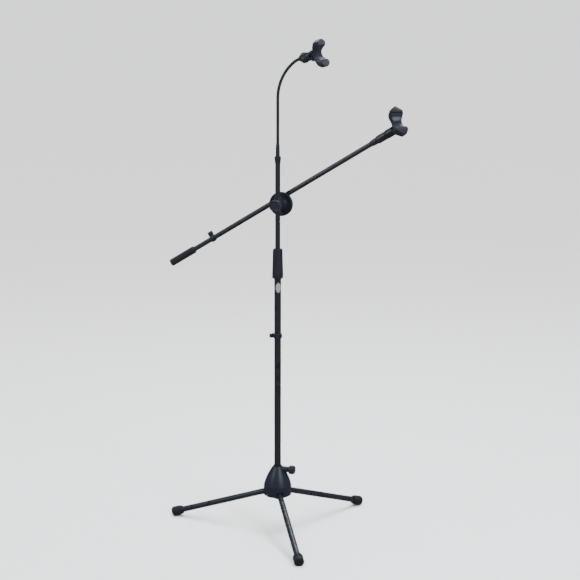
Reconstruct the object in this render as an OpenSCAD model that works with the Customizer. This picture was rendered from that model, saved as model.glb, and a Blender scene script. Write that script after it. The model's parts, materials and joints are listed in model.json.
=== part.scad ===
// Boom microphone stand: a folding tripod base, a two-stage column, a boom in a clamp
// on the upper tube, and a gooseneck. The boom and the gooseneck each carry a clip.
// Millimetres. +Z is up, and the origin is on the column axis at the floor.
// The boom rises towards +X and the gooseneck bends that way too.

/* [Tripod base] */
// Distance from the column axis to the middle of each rubber foot
foot_reach = 356; // [340:1:380]
// Bearing of the two front legs, to either side of +X
front_leg_bearing = 60; // [58:1:64]
// Slope of the spread legs below the horizontal
leg_slope = 18.2; // [17.6:0.1:18.4]
// Outer diameter of the leg tubes
leg_d = 19; // [18:0.5:19.5]
// Diameter of the rubber feet
foot_d = 32; // [31:0.5:33]
// Largest diameter of the bell-shaped hub
hub_d = 91; // [88:1:94]
// Height of the top of the hub
hub_top = 209; // [207:1:212]
// Diameter of the base locking knob
base_knob_d = 29; // [26:1:31]

/* [Column] */
// Outer diameter of the lower tube
column_d = 22; // [22:0.5:23]
// Height of the top end of the lower tube
column_top = 854; // [852:1:856]
// Outer diameter of the upper tube
mast_d = 16; // [15.5:0.5:16]
// Height of the top end of the upper tube
mast_top = 1212; // [1205:1:1220]
// Height of the twist grip's lower rim
grip_z = 833; // [832:1:834]
// Length of the twist grip
grip_len = 94; // [90:1:98]
// Height of the cable clip on the lower tube
column_clip_z = 644; // [500:2:700]

/* [Boom] */
// Height of the axis that the boom tilts about
pivot_z = 1067; // [1060:1:1072]
// Slope of the boom above the horizontal
boom_slope = 31.2; // [25:0.1:35]
// Outer diameter of the boom tube
boom_d = 16; // [15.5:0.5:16]
// Length of the tube on the low side of the tilt axis
boom_low = 434; // [400:2:460]
// Length of the tube on the high side of the tilt axis
boom_high = 364; // [340:2:400]
// Distance of the boom's centre line from the tilt axis
boom_rise = 17.5; // [17:0.5:19]
// Diameter of the front one of the two discs that grip the boom
disc_d = 78; // [76:1:80]
// Diameter of the smaller disc behind the boom
rear_disc_d = 66; // [62:1:68]
// Diameter of the clamp's hand knob
clamp_knob_d = 35.5; // [34:0.5:38]

/* [Gooseneck] */
// Outer diameter of the flexible hose
hose_d = 10; // [9:0.5:10]
// Length of the straight stretch
hose_straight = 147; // [145:1:160]
// Radius of the long bend
hose_bend_r = 146; // [140:2:156]

/* [Microphone clips] */
// Distance from the middle of the gooseneck's clip to the tip of each horn
top_reach = 43.5; // [42:0.5:46]
// Distance from the middle of the boom's clip to the tip of each horn
boom_reach = 57; // [54:0.5:60]
// Width of both clips at their horns
horn_w = 42; // [40:0.5:46]
// Tilt of the gooseneck's clip about its hinge screw
top_clip_tilt = -12; // [-50:1:50]
// Turn of the boom clip about the boom
boom_clip_roll = -38; // [-60:2:0]
// Tilt of the boom clip about its hinge screw
boom_clip_tilt = -45; // [-48:1:0]

/* [Hidden] */
$fn = 64;

run = 0.06;                      // radial clearance of a sliding or turning fit
cut = 1;                         // how far a cutting solid passes a face
wall = 1.2;                      // wall of the leg, mast and boom tubes

// Tripod base
leg_bearings = [180, front_leg_bearing, -front_leg_bearing];
screw_bearings = [0, (180 + front_leg_bearing) / 2, -(180 + front_leg_bearing) / 2];
leg_r = leg_d / 2;
foot_r = foot_d / 2;
foot_axis_z = foot_r + 2;
pin_r = 2.5;
pin_radius = 27;                 // distance of each leg's pivot pin from the column axis
pin_drop = 6;                    // the pin is this far below the leg's centre line
pin_z = foot_axis_z + (foot_reach - pin_radius) * tan(leg_slope) - pin_drop / cos(leg_slope);
leg_run = (foot_reach - pin_radius) / cos(leg_slope) - pin_drop * tan(leg_slope);
leg_start = 11;                  // the tube starts this far out from the pin
foot_half = 18;                  // half the length of a foot's sleeve
hub_r = hub_d / 2;
hub_floor = 111;
hub_corner = 8;
hub_wall = 3.2;
band_top = 144;
shoulder_z = 177;                // the bell's curve bends most near this height
bush_low = 159;
slot_half = leg_r + 1.3;
slot_top = 131.5;
core_slot_top = 138;             // clear of the knuckles' tops
cheek_t = 4;
core_r = 16;
fork_r = 21.5;                   // the ring that joins the core's three forks
fork_h = 18;
bush_r = 12.6;
column_r = column_d / 2;
column_wall = 1.5;
column_bottom = 105;
knob_z = 201;                    // height of the base knob's screw
arm_r = 9;                       // radius of the arm that carries the base knob
boss_end = 39;                   // the knob's boss on the hub ends here
base_screw_r = 3;
base_knob_len = 19;

// Column and twist clutch
bore_r = column_r - column_wall;
mast_r = mast_d / 2;
mast_bottom = 600;
collar_r = 13.4;
collar_bottom = 829;
collar_top = 849;
grip_r = 18.8;                   // at the foot of the twist grip
grip_top_r = 15.6;
grip_flat = 17.2;                // distance of the grip's six flats from its axis
collet_top = 909;
label_half_w = 9.4;              // half the label's width along the tube's surface
label_half_h = 16.5;
label_z = 802.5;
label_bearing = -60;
label_lift = 0.35;
clip_len = 13;
hook_r = 7.6;
hook_bore = 5;

// Boom clamp
clamp_r = 17.5;
clamp_front = -21;
clamp_rear = 21;
flange_r = 20.5;
boss_rear = 24.8;
eye_r = 12.6;
bolt_r = 4;
knob_front = -33;
knob_back = -23.5;
boom_r = boom_d / 2;
boom_y = 37;
disc_front = 27;
disc_split = 0.2;                // half the gap between the two discs
disc_rear = 47;
knob_r = clamp_knob_d / 2;

// Gooseneck: a straight stretch, a long bend and a short one, in the XZ plane
hose_r = hose_d / 2;
hose_base = mast_top + 44;
bend_1 = 50;
bend_2 = 26;
hose_bend_r2 = 60;
arc_1 = hose_bend_r * bend_1 * PI / 180;
arc_2 = hose_bend_r2 * bend_2 * PI / 180;
hose_len = hose_straight + arc_1 + arc_2;
hose_joints = concat([hose_straight / 2], [for (i = [0:3]) hose_straight + i * arc_1 / 3]);
hose_cuts = concat([0], hose_joints, [hose_len]);
ball_gap = 0.3;
stub_r = 3;                      // bore of the top nut that the gooseneck's pivot turns in
ball_r = hose_r - 0.1;

// Microphone clips, each in its own frame: X forward, Z across the horns,
// Y along the microphone, and the origin in the middle of the clip's body
hinge_x = -22;
top_socket_back = -40;
boom_socket_back = -55;
clip_offset = 20 - top_socket_back;    // from the gooseneck's end to its clip's origin
socket_r = 14;
insert_len = 8;
fork_floor = -30.7;
tongue_half = 4.5;
tongue_r = 8;
ear_r = 9.4;
stud_r = 7.9;
screw_r = 2.5;
spine_back = -12;
spine_half = 7;
spine_front = 5;
horn_face = 19;
horn_back = 5;
waist_w = 28.7;
tip_half = 6;                    // half the width left at each horn's tip
pad_t = 3;
pad_rim = 0.6;

black = [0.10, 0.10, 0.12];
satin_black = [0.13, 0.13, 0.15];
rubber_black = [0.07, 0.07, 0.08];
grey_black = [0.18, 0.18, 0.20];
zinc = [0.75, 0.76, 0.78];
brass = [0.78, 0.62, 0.30];
silver = [0.85, 0.86, 0.87];

// Point at t on the quadratic curve from a to c, drawn towards b
function curve(a, b, c, t) = a * pow(1 - t, 2) + b * 2 * t * (1 - t) + c * t * t;
// Points of an arc about a centre
function arc(centre, r, from, to, steps) =
    [for (i = [0:steps]) let (a = from + (to - from) * i / steps)
        [centre[0] + r * cos(a), centre[1] + r * sin(a)]];
// Radius of the round seat that a clip with this reach holds a microphone in
function seat_radius(reach) = 0.533 * reach;
// The hose's heading from the vertical, and its place, at a length along it
function heading(s) =
    s < hose_straight ? 0
    : s < hose_straight + arc_1 ? (s - hose_straight) / hose_bend_r * 180 / PI
    : bend_1 + (s - hose_straight - arc_1) / hose_bend_r2 * 180 / PI;
function bend_x(r, from, to) = r * (cos(from) - cos(to));
function bend_z(r, from, to) = r * (sin(to) - sin(from));
function hose_x(s) =
    bend_x(hose_bend_r, 0, min(heading(s), bend_1))
    + bend_x(hose_bend_r2, bend_1, max(heading(s), bend_1));
function hose_z(s) =
    hose_base + min(s, hose_straight)
    + bend_z(hose_bend_r, 0, min(heading(s), bend_1))
    + bend_z(hose_bend_r2, bend_1, max(heading(s), bend_1));

module tube(r, t, from, to) {
    translate([0, 0, from]) difference() {
        cylinder(r = r, h = to - from);
        translate([0, 0, -cut]) cylinder(r = r - t, h = to - from + 2 * cut);
    }
}

module along_x(x = 0) { translate([x, 0, 0]) rotate([0, 90, 0]) children(); }
module along_y(y = 0) { translate([0, y, 0]) rotate([-90, 0, 0]) children(); }

// Frame of leg n: origin on its pivot pin, X out along the leg, Y along the pin
module leg_frame(n) {
    rotate([0, 0, leg_bearings[n]]) translate([pin_radius, 0, pin_z])
        rotate([0, leg_slope, 0]) children();
}

// ---------------------------------------------------------------- tripod base

module hub_outline() {
    polygon(concat(
        arc([hub_r - 0.5 - hub_corner, hub_floor + hub_corner], hub_corner, -90, 0, 6),
        [[hub_r - 0.5, band_top - 0.5], [hub_r, band_top + 0.5]],
        [for (t = [0.1:0.1:1]) curve([hub_r, band_top + 0.5], [hub_r - 7, shoulder_z],
            [core_r + 0.5, hub_top], t)],
        [[bush_r + 0.05, hub_top], [bush_r + 0.05, hub_top - 4]],
        [for (t = [0:0.1:1]) curve([core_r + 0.1, hub_top - 4], [hub_r - 12, shoulder_z - 2],
            [hub_r - hub_wall, band_top], t)],
        arc([hub_r - 0.5 - hub_corner, hub_floor + hub_corner], hub_corner - hub_wall,
            0, -90, 6)
    ));
}

module hub_shell() {
    color(satin_black) difference() {
        union() {
            rotate_extrude() hub_outline();
            translate([0, 0, knob_z]) difference() {
                along_x(core_r + 2) cylinder(r = arm_r, h = boss_end - core_r - 2);
                translate([0, 0, -10]) cylinder(r = core_r + 0.1, h = 20);
            }
        }
        translate([0, 0, knob_z]) {
            along_x() cylinder(r = base_screw_r + 0.3, h = boss_end + cut);
            along_x(boss_end - 10) cylinder(r = 5, h = 10 + cut);
        }
        for (n = [0:2]) rotate([0, 0, leg_bearings[n]])
            translate([core_r, -slot_half, hub_floor - cut])
                cube([hub_r, 2 * slot_half, slot_top - hub_floor + cut]);
        for (a = screw_bearings) rotate([0, 0, a])
            translate([0, 0, pin_z - 1]) along_x(core_r) cylinder(r = 2.2, h = hub_r);
    }
}

module hub_core() {
    color(black) difference() {
        union() {
            translate([0, 0, hub_floor + 6]) cylinder(r = core_r, h = hub_top - hub_floor - 10);
            translate([0, 0, hub_floor + 5]) cylinder(r = fork_r, h = fork_h - 2);
            for (a = leg_bearings) rotate([0, 0, a])
                translate([core_r, -slot_half - cheek_t, hub_floor + 4])
                    cube([19, 2 * (slot_half + cheek_t), fork_h]);
            for (a = screw_bearings) rotate([0, 0, a]) translate([0, 0, pin_z - 1])
                along_x(core_r) cylinder(r = 4, h = 20.5);
        }
        for (a = leg_bearings) rotate([0, 0, a])
            translate([core_r - 0.5, -slot_half, hub_floor])
                cube([30, 2 * slot_half, core_slot_top - hub_floor]);
        translate([0, 0, hub_floor]) cylinder(r = bush_r + 0.05, h = hub_top);
        for (n = [0:2]) leg_frame(n) along_y(-20) cylinder(r = pin_r + 0.02, h = 40);
        for (a = screw_bearings) rotate([0, 0, a])
            translate([0, 0, pin_z - 1]) along_x(24) cylinder(r = 2.02, h = hub_r);
        translate([0, 0, knob_z]) along_x() cylinder(r = base_screw_r + 0.3, h = 30);
    }
}

module hub_bush() {
    color(grey_black) difference() {
        union() {
            translate([0, 0, bush_low]) cylinder(r = bush_r, h = hub_top - bush_low);
            translate([0, 0, hub_top]) cylinder(r = bush_r - 0.3, h = 5);
        }
        translate([0, 0, bush_low - 1]) cylinder(r = column_r + run, h = hub_top);
        translate([0, 0, knob_z]) along_x() cylinder(r = base_screw_r + 0.3, h = 30);
    }
}

// Three round-headed screws that hold the shell to the core
module hub_screws() {
    shank = hub_r - 25.3;
    color(zinc) for (a = screw_bearings) rotate([0, 0, a]) translate([0, 0, pin_z - 1])
        along_x(25) rotate_extrude() polygon(concat(
            [[0, 0], [2, 0], [2, shank], [3.4, shank], [3.4, shank + 0.4]],
            [for (t = [0.25:0.25:1]) curve([3.4, shank + 0.4], [2.8, shank + 2],
                [0, shank + 2.2], t)]
        ));
}

module leg_pins() {
    color(zinc) for (n = [0:2]) leg_frame(n) {
        pin_half = slot_half + cheek_t;
        along_y(-pin_half - 0.5) cylinder(r = pin_r, h = 2 * pin_half + 1);
    }
}

module knob_insert() {
    color(brass) translate([0, 0, knob_z]) difference() {
        along_x(boss_end - 10) cylinder(r = 4.98, h = 9.5);
        along_x(boss_end - 11) cylinder(r = base_screw_r + run, h = 12);
    }
}

module leg_tube(n) {
    color(satin_black) leg_frame(n) translate([0, 0, pin_drop]) rotate([0, 90, 0])
        tube(leg_r, wall, leg_start, leg_run + foot_half - 4);
}

// Solid inner end of a leg: an eye round the pin and a plug that fills the tube's end
module leg_knuckle(n) {
    plug_r = leg_r - wall - 0.02;
    color(black) leg_frame(n) difference() {
        union() {
            along_y(1.2 - leg_r) cylinder(r = 7.2, h = 2 * leg_r - 2.4);
            translate([0, 0, pin_drop]) along_x(-1) cylinder(r = leg_r - 0.2, h = leg_start + 0.8);
            translate([0, 0, pin_drop]) along_x(leg_start - 1) cylinder(r = plug_r, h = 22);
        }
        along_y(-leg_r - cut) cylinder(r = pin_r + run, h = leg_d + 2 * cut);
    }
}

module foot_profile() {
    polygon(concat(
        [[0, foot_half]],
        arc([foot_r - 5, foot_half - 5], 5, 90, 0, 6),
        [[foot_r, -foot_half + 9], [foot_r - 1.6, -foot_half + 6]],
        [[foot_r - 1.6, -foot_half + 2], [foot_r - 3.2, -foot_half]],
        [[leg_r + 0.02, -foot_half], [leg_r + 0.02, foot_half - 4], [0, foot_half - 4]]
    ));
}

// Rubber foot, cut flat where it stands on the floor
module leg_foot(n) {
    color(rubber_black) difference() {
        leg_frame(n) translate([leg_run, 0, pin_drop]) along_x()
            rotate_extrude() foot_profile();
        translate([-500, -500, -40]) cube([1000, 1000, 40]);
    }
}

module base_knob() {
    color(satin_black) translate([0, 0, knob_z]) difference() {
        along_x(boss_end + 0.6) rotate_extrude() polygon(concat(
            [[base_screw_r + 0.02, 0], [7.5, 0], [base_knob_d / 2 - 1.5, 3]],
            [[base_knob_d / 2, 4.5]],
            arc([base_knob_d / 2 - 2, base_knob_len - 2], 2, 0, 90, 4),
            [[base_screw_r + 0.02, base_knob_len]]
        ));
        for (a = [0:45:315]) rotate([a, 0, 0]) translate([boss_end + 4, 0, base_knob_d / 2 + 2])
            along_x() cylinder(r = 3.2, h = base_knob_len);
    }
}

module base_knob_screw() {
    color(zinc) translate([0, 0, knob_z]) along_x(column_r + 0.12)
        cylinder(r = base_screw_r, h = boss_end + base_knob_len - 3 - column_r);
}

// --------------------------------------------------------------------- column

module lower_tube() { color(satin_black) tube(column_r, column_wall, column_bottom, column_top); }

module column_end_plug() {
    color(rubber_black) translate([0, 0, column_bottom - 6]) {
        cylinder(r = column_r, h = 6);
        translate([0, 0, 5]) cylinder(r = bore_r - 0.02, h = 14);
    }
}

module oval(a, b) { polygon([for (t = [0:10:350]) [a * cos(t), b * sin(t)]]); }

module column_label() {
    color(silver) intersection() {
        difference() {
            translate([0, 0, label_z - 20]) cylinder(r = column_r + label_lift, h = 40);
            translate([0, 0, label_z - 21]) cylinder(r = column_r + 0.01, h = 42);
        }
        rotate([0, 0, label_bearing]) translate([2, 0, label_z]) rotate([90, 0, 90])
            linear_extrude(height = column_r + 2)
                oval(column_r * sin(label_half_w / column_r * 180 / PI), label_half_h);
    }
}

module clutch_collar() {
    color(black) translate([0, 0, collar_bottom]) rotate_extrude() polygon([
        [column_r + 0.02, 0], [column_r + 1.2, 0], [collar_r, 4],
        [collar_r, collar_top - collar_bottom],
        [column_r + 0.02, collar_top - collar_bottom]
    ]);
}

// Split tapered sleeve that the grip squeezes on the upper tube
module clutch_collet() {
    color(grey_black) difference() {
        translate([0, 0, column_top]) rotate_extrude() polygon([
            [mast_r + run, 0.05], [12.4, 0.05], [12.4, 14],
            [9.6, collet_top - column_top], [mast_r + run, collet_top - column_top]
        ]);
        for (a = [0:60:120]) rotate([0, 0, a]) translate([-20, -0.8, column_top + 20])
            cube([40, 1.6, 60]);
    }
}

// Cable clip: a ring on a tube of radius r and a hook beside it, along Z
module cable_clip(r, mouth) {
    ring_r = r + 3.4;
    hook_x = -(ring_r + hook_bore + 1.1);
    difference() {
        union() {
            translate([0, 0, -clip_len / 2]) cylinder(r = ring_r, h = clip_len);
            translate([hook_x, 0, -clip_len / 2]) cylinder(r = hook_r, h = clip_len);
            translate([hook_x + hook_bore, -4.5, -clip_len / 2]) cube([6, 9, clip_len]);
        }
        translate([0, 0, -clip_len]) cylinder(r = r + run, h = 2 * clip_len);
        translate([hook_x, 0, -clip_len]) {
            cylinder(r = hook_bore, h = 2 * clip_len);
            rotate([0, 0, mouth]) translate([0, -3.2, 0]) cube([12, 6.4, 2 * clip_len]);
        }
    }
}

module column_cable_clip() {
    color(black) translate([0, 0, column_clip_z]) cable_clip(column_r, 135);
}

module clutch_grip() {
    h = grip_len;
    color(rubber_black) translate([0, 0, grip_z]) difference() {
        intersection() {
            rotate_extrude() polygon(concat(
                [[0, 0], [grip_r - 1.5, 0], [grip_r, 1.5], [grip_r - 0.2, 12]],
                arc([grip_top_r - 3, h - 3], 3, 10, 90, 4),
                [[0, h]]
            ));
            rotate([0, 0, -18]) cylinder(r = grip_flat / cos(30), h = h, $fn = 6);
        }
        translate([0, 0, -cut]) cylinder(r = collar_r + run, h = collar_top - grip_z + 1.5 + cut);
        cylinder(r = 12.8, h = collet_top + 1 - grip_z);
        cylinder(r = mast_r + 0.35, h = h + cut);
    }
}

module upper_tube() { color(satin_black) tube(mast_r, wall, mast_bottom, mast_top); }

module mast_guide_bush() {
    color(grey_black) translate([0, 0, mast_bottom - 3]) difference() {
        union() {
            cylinder(r = bore_r - run, h = 3);
            translate([0, 0, 3]) cylinder(r = bore_r - run, h = 27);
        }
        translate([0, 0, 3]) cylinder(r = mast_r + 0.02, h = 30);
        translate([0, 0, -cut]) cylinder(r = 5, h = 40);
    }
}

module mast_top_nut() {
    color(satin_black) translate([0, 0, mast_top - 12]) rotate_extrude() polygon([
        [mast_r + 0.02, 0], [mast_r + 1, 0], [10.25, 17], [10.25, 20.5], [9.6, 21.5],
        [stub_r, 21.5], [stub_r, 12.05], [mast_r + 0.02, 12.05]
    ]);
}

module gooseneck_sleeve() {
    color(satin_black) translate([0, 0, mast_top + 9.8]) rotate_extrude() polygon([
        [0, -9], [stub_r - run, -9], [stub_r - run, 0], [6.75, 0], [6.75, 8],
        [hose_r + 0.6, 38], [hose_r + 0.02, 39], [hose_r + 0.02, 34.2], [0, 34.2]
    ]);
}

// ------------------------------------------------------------------ gooseneck

// Bar along part of a bend of radius r, from one heading to another, starting at the
// place (x, z) where the heading is zero
module bent_bar(r, x, z, from, to) {
    translate([x + r, 0, z]) rotate([90, 0, 0]) rotate([0, 0, 180 - to])
        rotate_extrude(angle = to - from, $fn = 360) translate([r, 0]) circle(r = hose_r, $fn = 64);
}

module hose_piece(from, to) {
    bend_start = hose_base + hose_straight;
    mid = hose_straight + arc_1;
    if (from < hose_straight)
        translate([0, 0, hose_base + from]) cylinder(r = hose_r, h = min(to, hose_straight) - from);
    if (to > hose_straight && from < mid)
        bent_bar(hose_bend_r, 0, bend_start, heading(max(from, hose_straight)),
            heading(min(to, mid)));
    if (to > mid)
        bent_bar(hose_bend_r2, (hose_bend_r - hose_bend_r2) * (1 - cos(bend_1)),
            bend_start + (hose_bend_r - hose_bend_r2) * sin(bend_1),
            heading(max(from, mid)), heading(to));
}

// One length of the gooseneck, with a ball at its far end and a cup at its near end
module gooseneck(n) {
    from = hose_cuts[n];
    to = hose_cuts[n + 1];
    color(black) difference() {
        union() {
            hose_piece(from, to);
            if (n < 5) translate([hose_x(to), 0, hose_z(to)]) sphere(r = ball_r);
        }
        if (n > 0) translate([hose_x(from), 0, hose_z(from)]) sphere(r = ball_r + ball_gap);
    }
}

// Frame at the gooseneck's end, X along it
module hose_end_frame() {
    translate([hose_x(hose_len), 0, hose_z(hose_len)])
        rotate([0, heading(hose_len) - 90, 0]) children();
}

module gooseneck_collar() {
    color(satin_black) hose_end_frame() {
        along_x(-6) rotate_extrude() polygon([
            [hose_r + 0.4, 0], [7, 0], [16.2, 12], [17.2, 13.5], [17.2, 23], [16.2, 25.7],
            [0, 25.7], [0, 6.05], [hose_r + 0.4, 6.05]
        ]);
        along_x(19) cylinder(r = stud_r, h = 9);
    }
}

// ----------------------------------------------------------- microphone clips

// Socket: a barrel that screws on a stem, with a fork round the clip's tongue.
// back is the place of its rear face.
module clip_socket(back) {
    shoulder = fork_floor - 0.3;
    color(black) difference() {
        intersection() {
            along_x(back) cylinder(r = socket_r, h = hinge_x + ear_r - back);
            union() {
                translate([hinge_x, 0, -20]) cylinder(r = ear_r, h = 40);
                translate([0, 0, -20]) linear_extrude(height = 40) polygon([
                    [back, -20], [shoulder, -20], [shoulder, -socket_r], [hinge_x, -ear_r],
                    [hinge_x, ear_r], [shoulder, socket_r], [shoulder, 20], [back, 20]
                ]);
            }
        }
        translate([fork_floor, -20, -tongue_half - 0.3])
            cube([40, 40, 2 * tongue_half + 0.6]);
        translate([hinge_x, 0, -20]) cylinder(r = screw_r + 0.02, h = 40);
        along_x(back - cut) cylinder(r = 10.02, h = insert_len + 0.6 + cut);
    }
}

module clip_insert(back) {
    color(brass) difference() {
        along_x(back + 0.3) cylinder(r = 10, h = insert_len);
        along_x(back - cut) cylinder(r = stud_r + run, h = 12);
    }
}

module clip_screw() {
    color(zinc) translate([hinge_x, 0, 0]) {
        translate([0, 0, -socket_r - 4]) cylinder(r = screw_r, h = 2 * socket_r + 4.5);
        difference() {
            translate([0, 0, socket_r + 0.05]) cylinder(r = 4.6, h = 2.6);
            translate([-0.6, -6, socket_r + 1.6]) cube([1.2, 12, 2]);
        }
    }
}

module clip_nut() {
    color(zinc) translate([hinge_x, 0, -socket_r - 3.7]) difference() {
        cylinder(r = 5, h = 3.6, $fn = 6);
        translate([0, 0, -cut]) cylinder(r = screw_r + 0.02, h = 6);
    }
}

// Side view of a clip: a wide V
module clip_side(reach) {
    polygon([
        [spine_back, -spine_half], [horn_back, -reach], [horn_face, -reach],
        [horn_face, reach], [horn_back, reach], [spine_back, spine_half]
    ]);
}

// Front view of a clip: narrow at the waist, with a cut corner at each side of a tip
module clip_front(reach) {
    w = horn_w / 2;
    for (side = [0, 1]) mirror([0, side]) polygon([
        [-waist_w / 2, 0], [-waist_w / 2, 0.2 * reach], [-w, 0.51 * reach],
        [-w, 0.82 * reach], [-tip_half, reach], [tip_half, reach], [w, 0.82 * reach],
        [w, 0.51 * reach], [waist_w / 2, 0.2 * reach], [waist_w / 2, 0]
    ]);
}

module clip_body(reach) {
    color(black) difference() {
        union() {
            intersection() {
                rotate([90, 0, 0]) linear_extrude(height = horn_w + 2, center = true)
                    clip_side(reach);
                translate([-20, 0, 0]) rotate([90, 0, 90]) linear_extrude(height = 60)
                    clip_front(reach);
            }
            translate([0, 0, -tongue_half]) linear_extrude(height = 2 * tongue_half) union() {
                translate([hinge_x, 0]) circle(r = tongue_r);
                translate([hinge_x, -tongue_r])
                    square([spine_back + 2 - hinge_x, 2 * tongue_r]);
            }
        }
        translate([hinge_x, 0, -20]) cylinder(r = screw_r + run, h = 40);
        translate([spine_front + seat_radius(reach), 0, 0]) along_y(-horn_w)
            cylinder(r = seat_radius(reach), h = 2 * horn_w);
    }
}

module clip_pads(reach) {
    w = horn_w / 2 - pad_rim;
    inner = 0.57 * reach;
    corner = 0.82 * reach - pad_rim / 2;
    color(rubber_black) for (side = [0, 1]) mirror([0, 0, side])
        translate([horn_face, 0, 0]) rotate([90, 0, 90]) linear_extrude(height = pad_t) polygon([
            [-w, inner], [-w, corner], [-tip_half, reach - pad_rim], [tip_half, reach - pad_rim],
            [w, corner], [w, inner]
        ]);
}

module top_socket_frame() { hose_end_frame() translate([clip_offset, 0, 0]) children(); }

module top_clip_frame() {
    top_socket_frame() translate([hinge_x, 0, 0]) rotate([0, 0, top_clip_tilt])
        translate([-hinge_x, 0, 0]) children();
}

// ----------------------------------------------------------------- boom clamp

module clamp_frame() { translate([0, 0, pivot_z]) children(); }

module clamp_body() {
    color(satin_black) clamp_frame() difference() {
        union() {
            along_y(clamp_front) cylinder(r = clamp_r, h = clamp_rear - clamp_front);
            along_y(clamp_rear - 1) cylinder(r = flange_r, h = boss_rear - clamp_rear + 1);
            translate([0, 0, -24]) cylinder(r = 11, h = 48);
        }
        translate([0, 0, -30]) cylinder(r = mast_r + 0.8, h = 60);
        along_y(-13.4) cylinder(r = 13.2, h = 26.8);
        along_y(clamp_front - cut) cylinder(r = bolt_r + 0.3, h = 60);
    }
}

module clamp_liner() {
    color(grey_black) clamp_frame() for (side = [0, 1]) mirror([0, 0, side])
        tube(mast_r + 0.78, 0.78 - run, 13.6, 24.6);
}

// Bolt with an eye round the mast, which the hand knob draws forward
module draw_bolt() {
    color(zinc) clamp_frame() difference() {
        union() {
            along_y(knob_front + 2.7) cylinder(r = bolt_r, h = -knob_front - 13.2);
            along_y(10) cylinder(r = bolt_r, h = disc_rear - 1);
            translate([0, 0, -4.5]) cylinder(r = eye_r, h = 9);
        }
        translate([0, 0, -6]) cylinder(r = mast_r + 0.6, h = 12);
    }
}

module rear_nut() {
    color(zinc) clamp_frame() difference() {
        union() {
            along_y(disc_rear + 0.2) cylinder(r = 9, h = 1.3);
            along_y(disc_rear + 1.5) cylinder(r = 7.5, h = 6.3, $fn = 6);
        }
        along_y(disc_rear) cylinder(r = bolt_r + 0.02, h = 10);
    }
}

module friction_washer() {
    color(rubber_black) clamp_frame() difference() {
        along_y(boss_rear + 0.02) cylinder(r = 17, h = disc_front - boss_rear - 0.12);
        along_y(boss_rear - cut) cylinder(r = bolt_r + 0.3, h = 6);
    }
}

module clamp_knob() {
    h = knob_back - knob_front;
    color(satin_black) clamp_frame() difference() {
        along_y(knob_front) rotate_extrude() polygon(concat(
            [[0, 1.6], [knob_r - 3.4, 1.0]],
            [[knob_r - 2.6, 0.2], [knob_r - 1.6, 0]],
            arc([knob_r - 1.4, 1.4], 1.4, -90, 0, 4),
            [[knob_r, h - 1.5], [knob_r - 1.5, h], [0, h]]
        ));
        along_y(knob_front + 2.4) cylinder(r = bolt_r + run, h = 20);
    }
}

module thrust_washer() {
    color(zinc) clamp_frame() difference() {
        along_y(knob_back + 0.1) cylinder(r = 18.6, h = clamp_front - knob_back - 0.2);
        along_y(knob_back - cut) cylinder(r = bolt_r + 0.3, h = 6);
    }
}

// ----------------------------------------------------------------------- boom

// Frame of the boom at rest: origin on the tilt axis, X along the boom
module boom_frame() { clamp_frame() rotate([0, -boom_slope, 0]) children(); }
module boom_line() { boom_frame() translate([0, boom_y, boom_rise]) children(); }

module boom_disc(from, to, disc_r, rim_at_front) {
    t = to - from;
    rim = 2;
    color(satin_black) difference() {
        boom_frame() along_y(from) rotate_extrude() polygon(rim_at_front
            ? concat([[bolt_r + run, 0.8], [disc_r - 7, 0.8], [disc_r - 6, 0]],
                [for (a = [-90:22.5:0]) [disc_r - rim + rim * cos(a), rim + rim * sin(a)]],
                [[disc_r, t], [bolt_r + run, t]])
            : concat([[bolt_r + run, 0], [disc_r, 0]],
                [for (a = [0:22.5:90]) [disc_r - rim + rim * cos(a), t - rim + rim * sin(a)]],
                [[bolt_r + run, t]]));
        boom_line() along_x(-60) cylinder(r = boom_r + run, h = 120);
    }
}

module boom_disc_front() { boom_disc(disc_front, boom_y - disc_split, disc_d / 2, true); }
module boom_disc_rear() { boom_disc(boom_y + disc_split, disc_rear, rear_disc_d / 2, false); }

module boom_tube() {
    color(satin_black) boom_line() rotate([0, 90, 0]) tube(boom_r, wall, -boom_low, boom_high);
}

module boom_grip() {
    color(rubber_black) boom_line() along_x(-boom_low - 4) rotate_extrude() polygon([
        [0, 0], [11.2, 0], [12, 0.8], [12, 93.4], [11.4, 94], [9.6, 95],
        [boom_r + 0.02, 95], [boom_r + 0.02, 4], [0, 4]
    ]);
}

module boom_ferrule() {
    color(satin_black) boom_line() along_x(boom_high - 8) rotate_extrude() polygon([
        [boom_r + 0.02, 0], [boom_r + 1.2, 0], [10.6, 12], [10.6, 22], [0, 22],
        [0, 8.05], [boom_r + 0.02, 8.05]
    ]);
}

module boom_collar() {
    color(satin_black) boom_line() {
        along_x(boom_high + 14.02) rotate_extrude() polygon([
            [0, 0], [11.5, 0], [13, 2], [13, 31], [12.2, 35.7], [0, 35.7]
        ]);
        along_x(boom_high + 49) cylinder(r = stud_r, h = 9);
    }
}

module boom_cable_clip() {
    color(black) boom_line() translate([-266, 0, 0]) rotate([0, 90, 0])
        cable_clip(boom_r, 180);
}

module boom_socket_frame() {
    boom_line() translate([boom_high + 50 - boom_socket_back, 0, 0])
        rotate([boom_clip_roll, 0, 0]) children();
}

module boom_clip_frame() {
    boom_socket_frame() translate([hinge_x, 0, 0]) rotate([0, 0, boom_clip_tilt])
        translate([-hinge_x, 0, 0]) children();
}

// ----------------------------------------------------------------------- nodes

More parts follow.
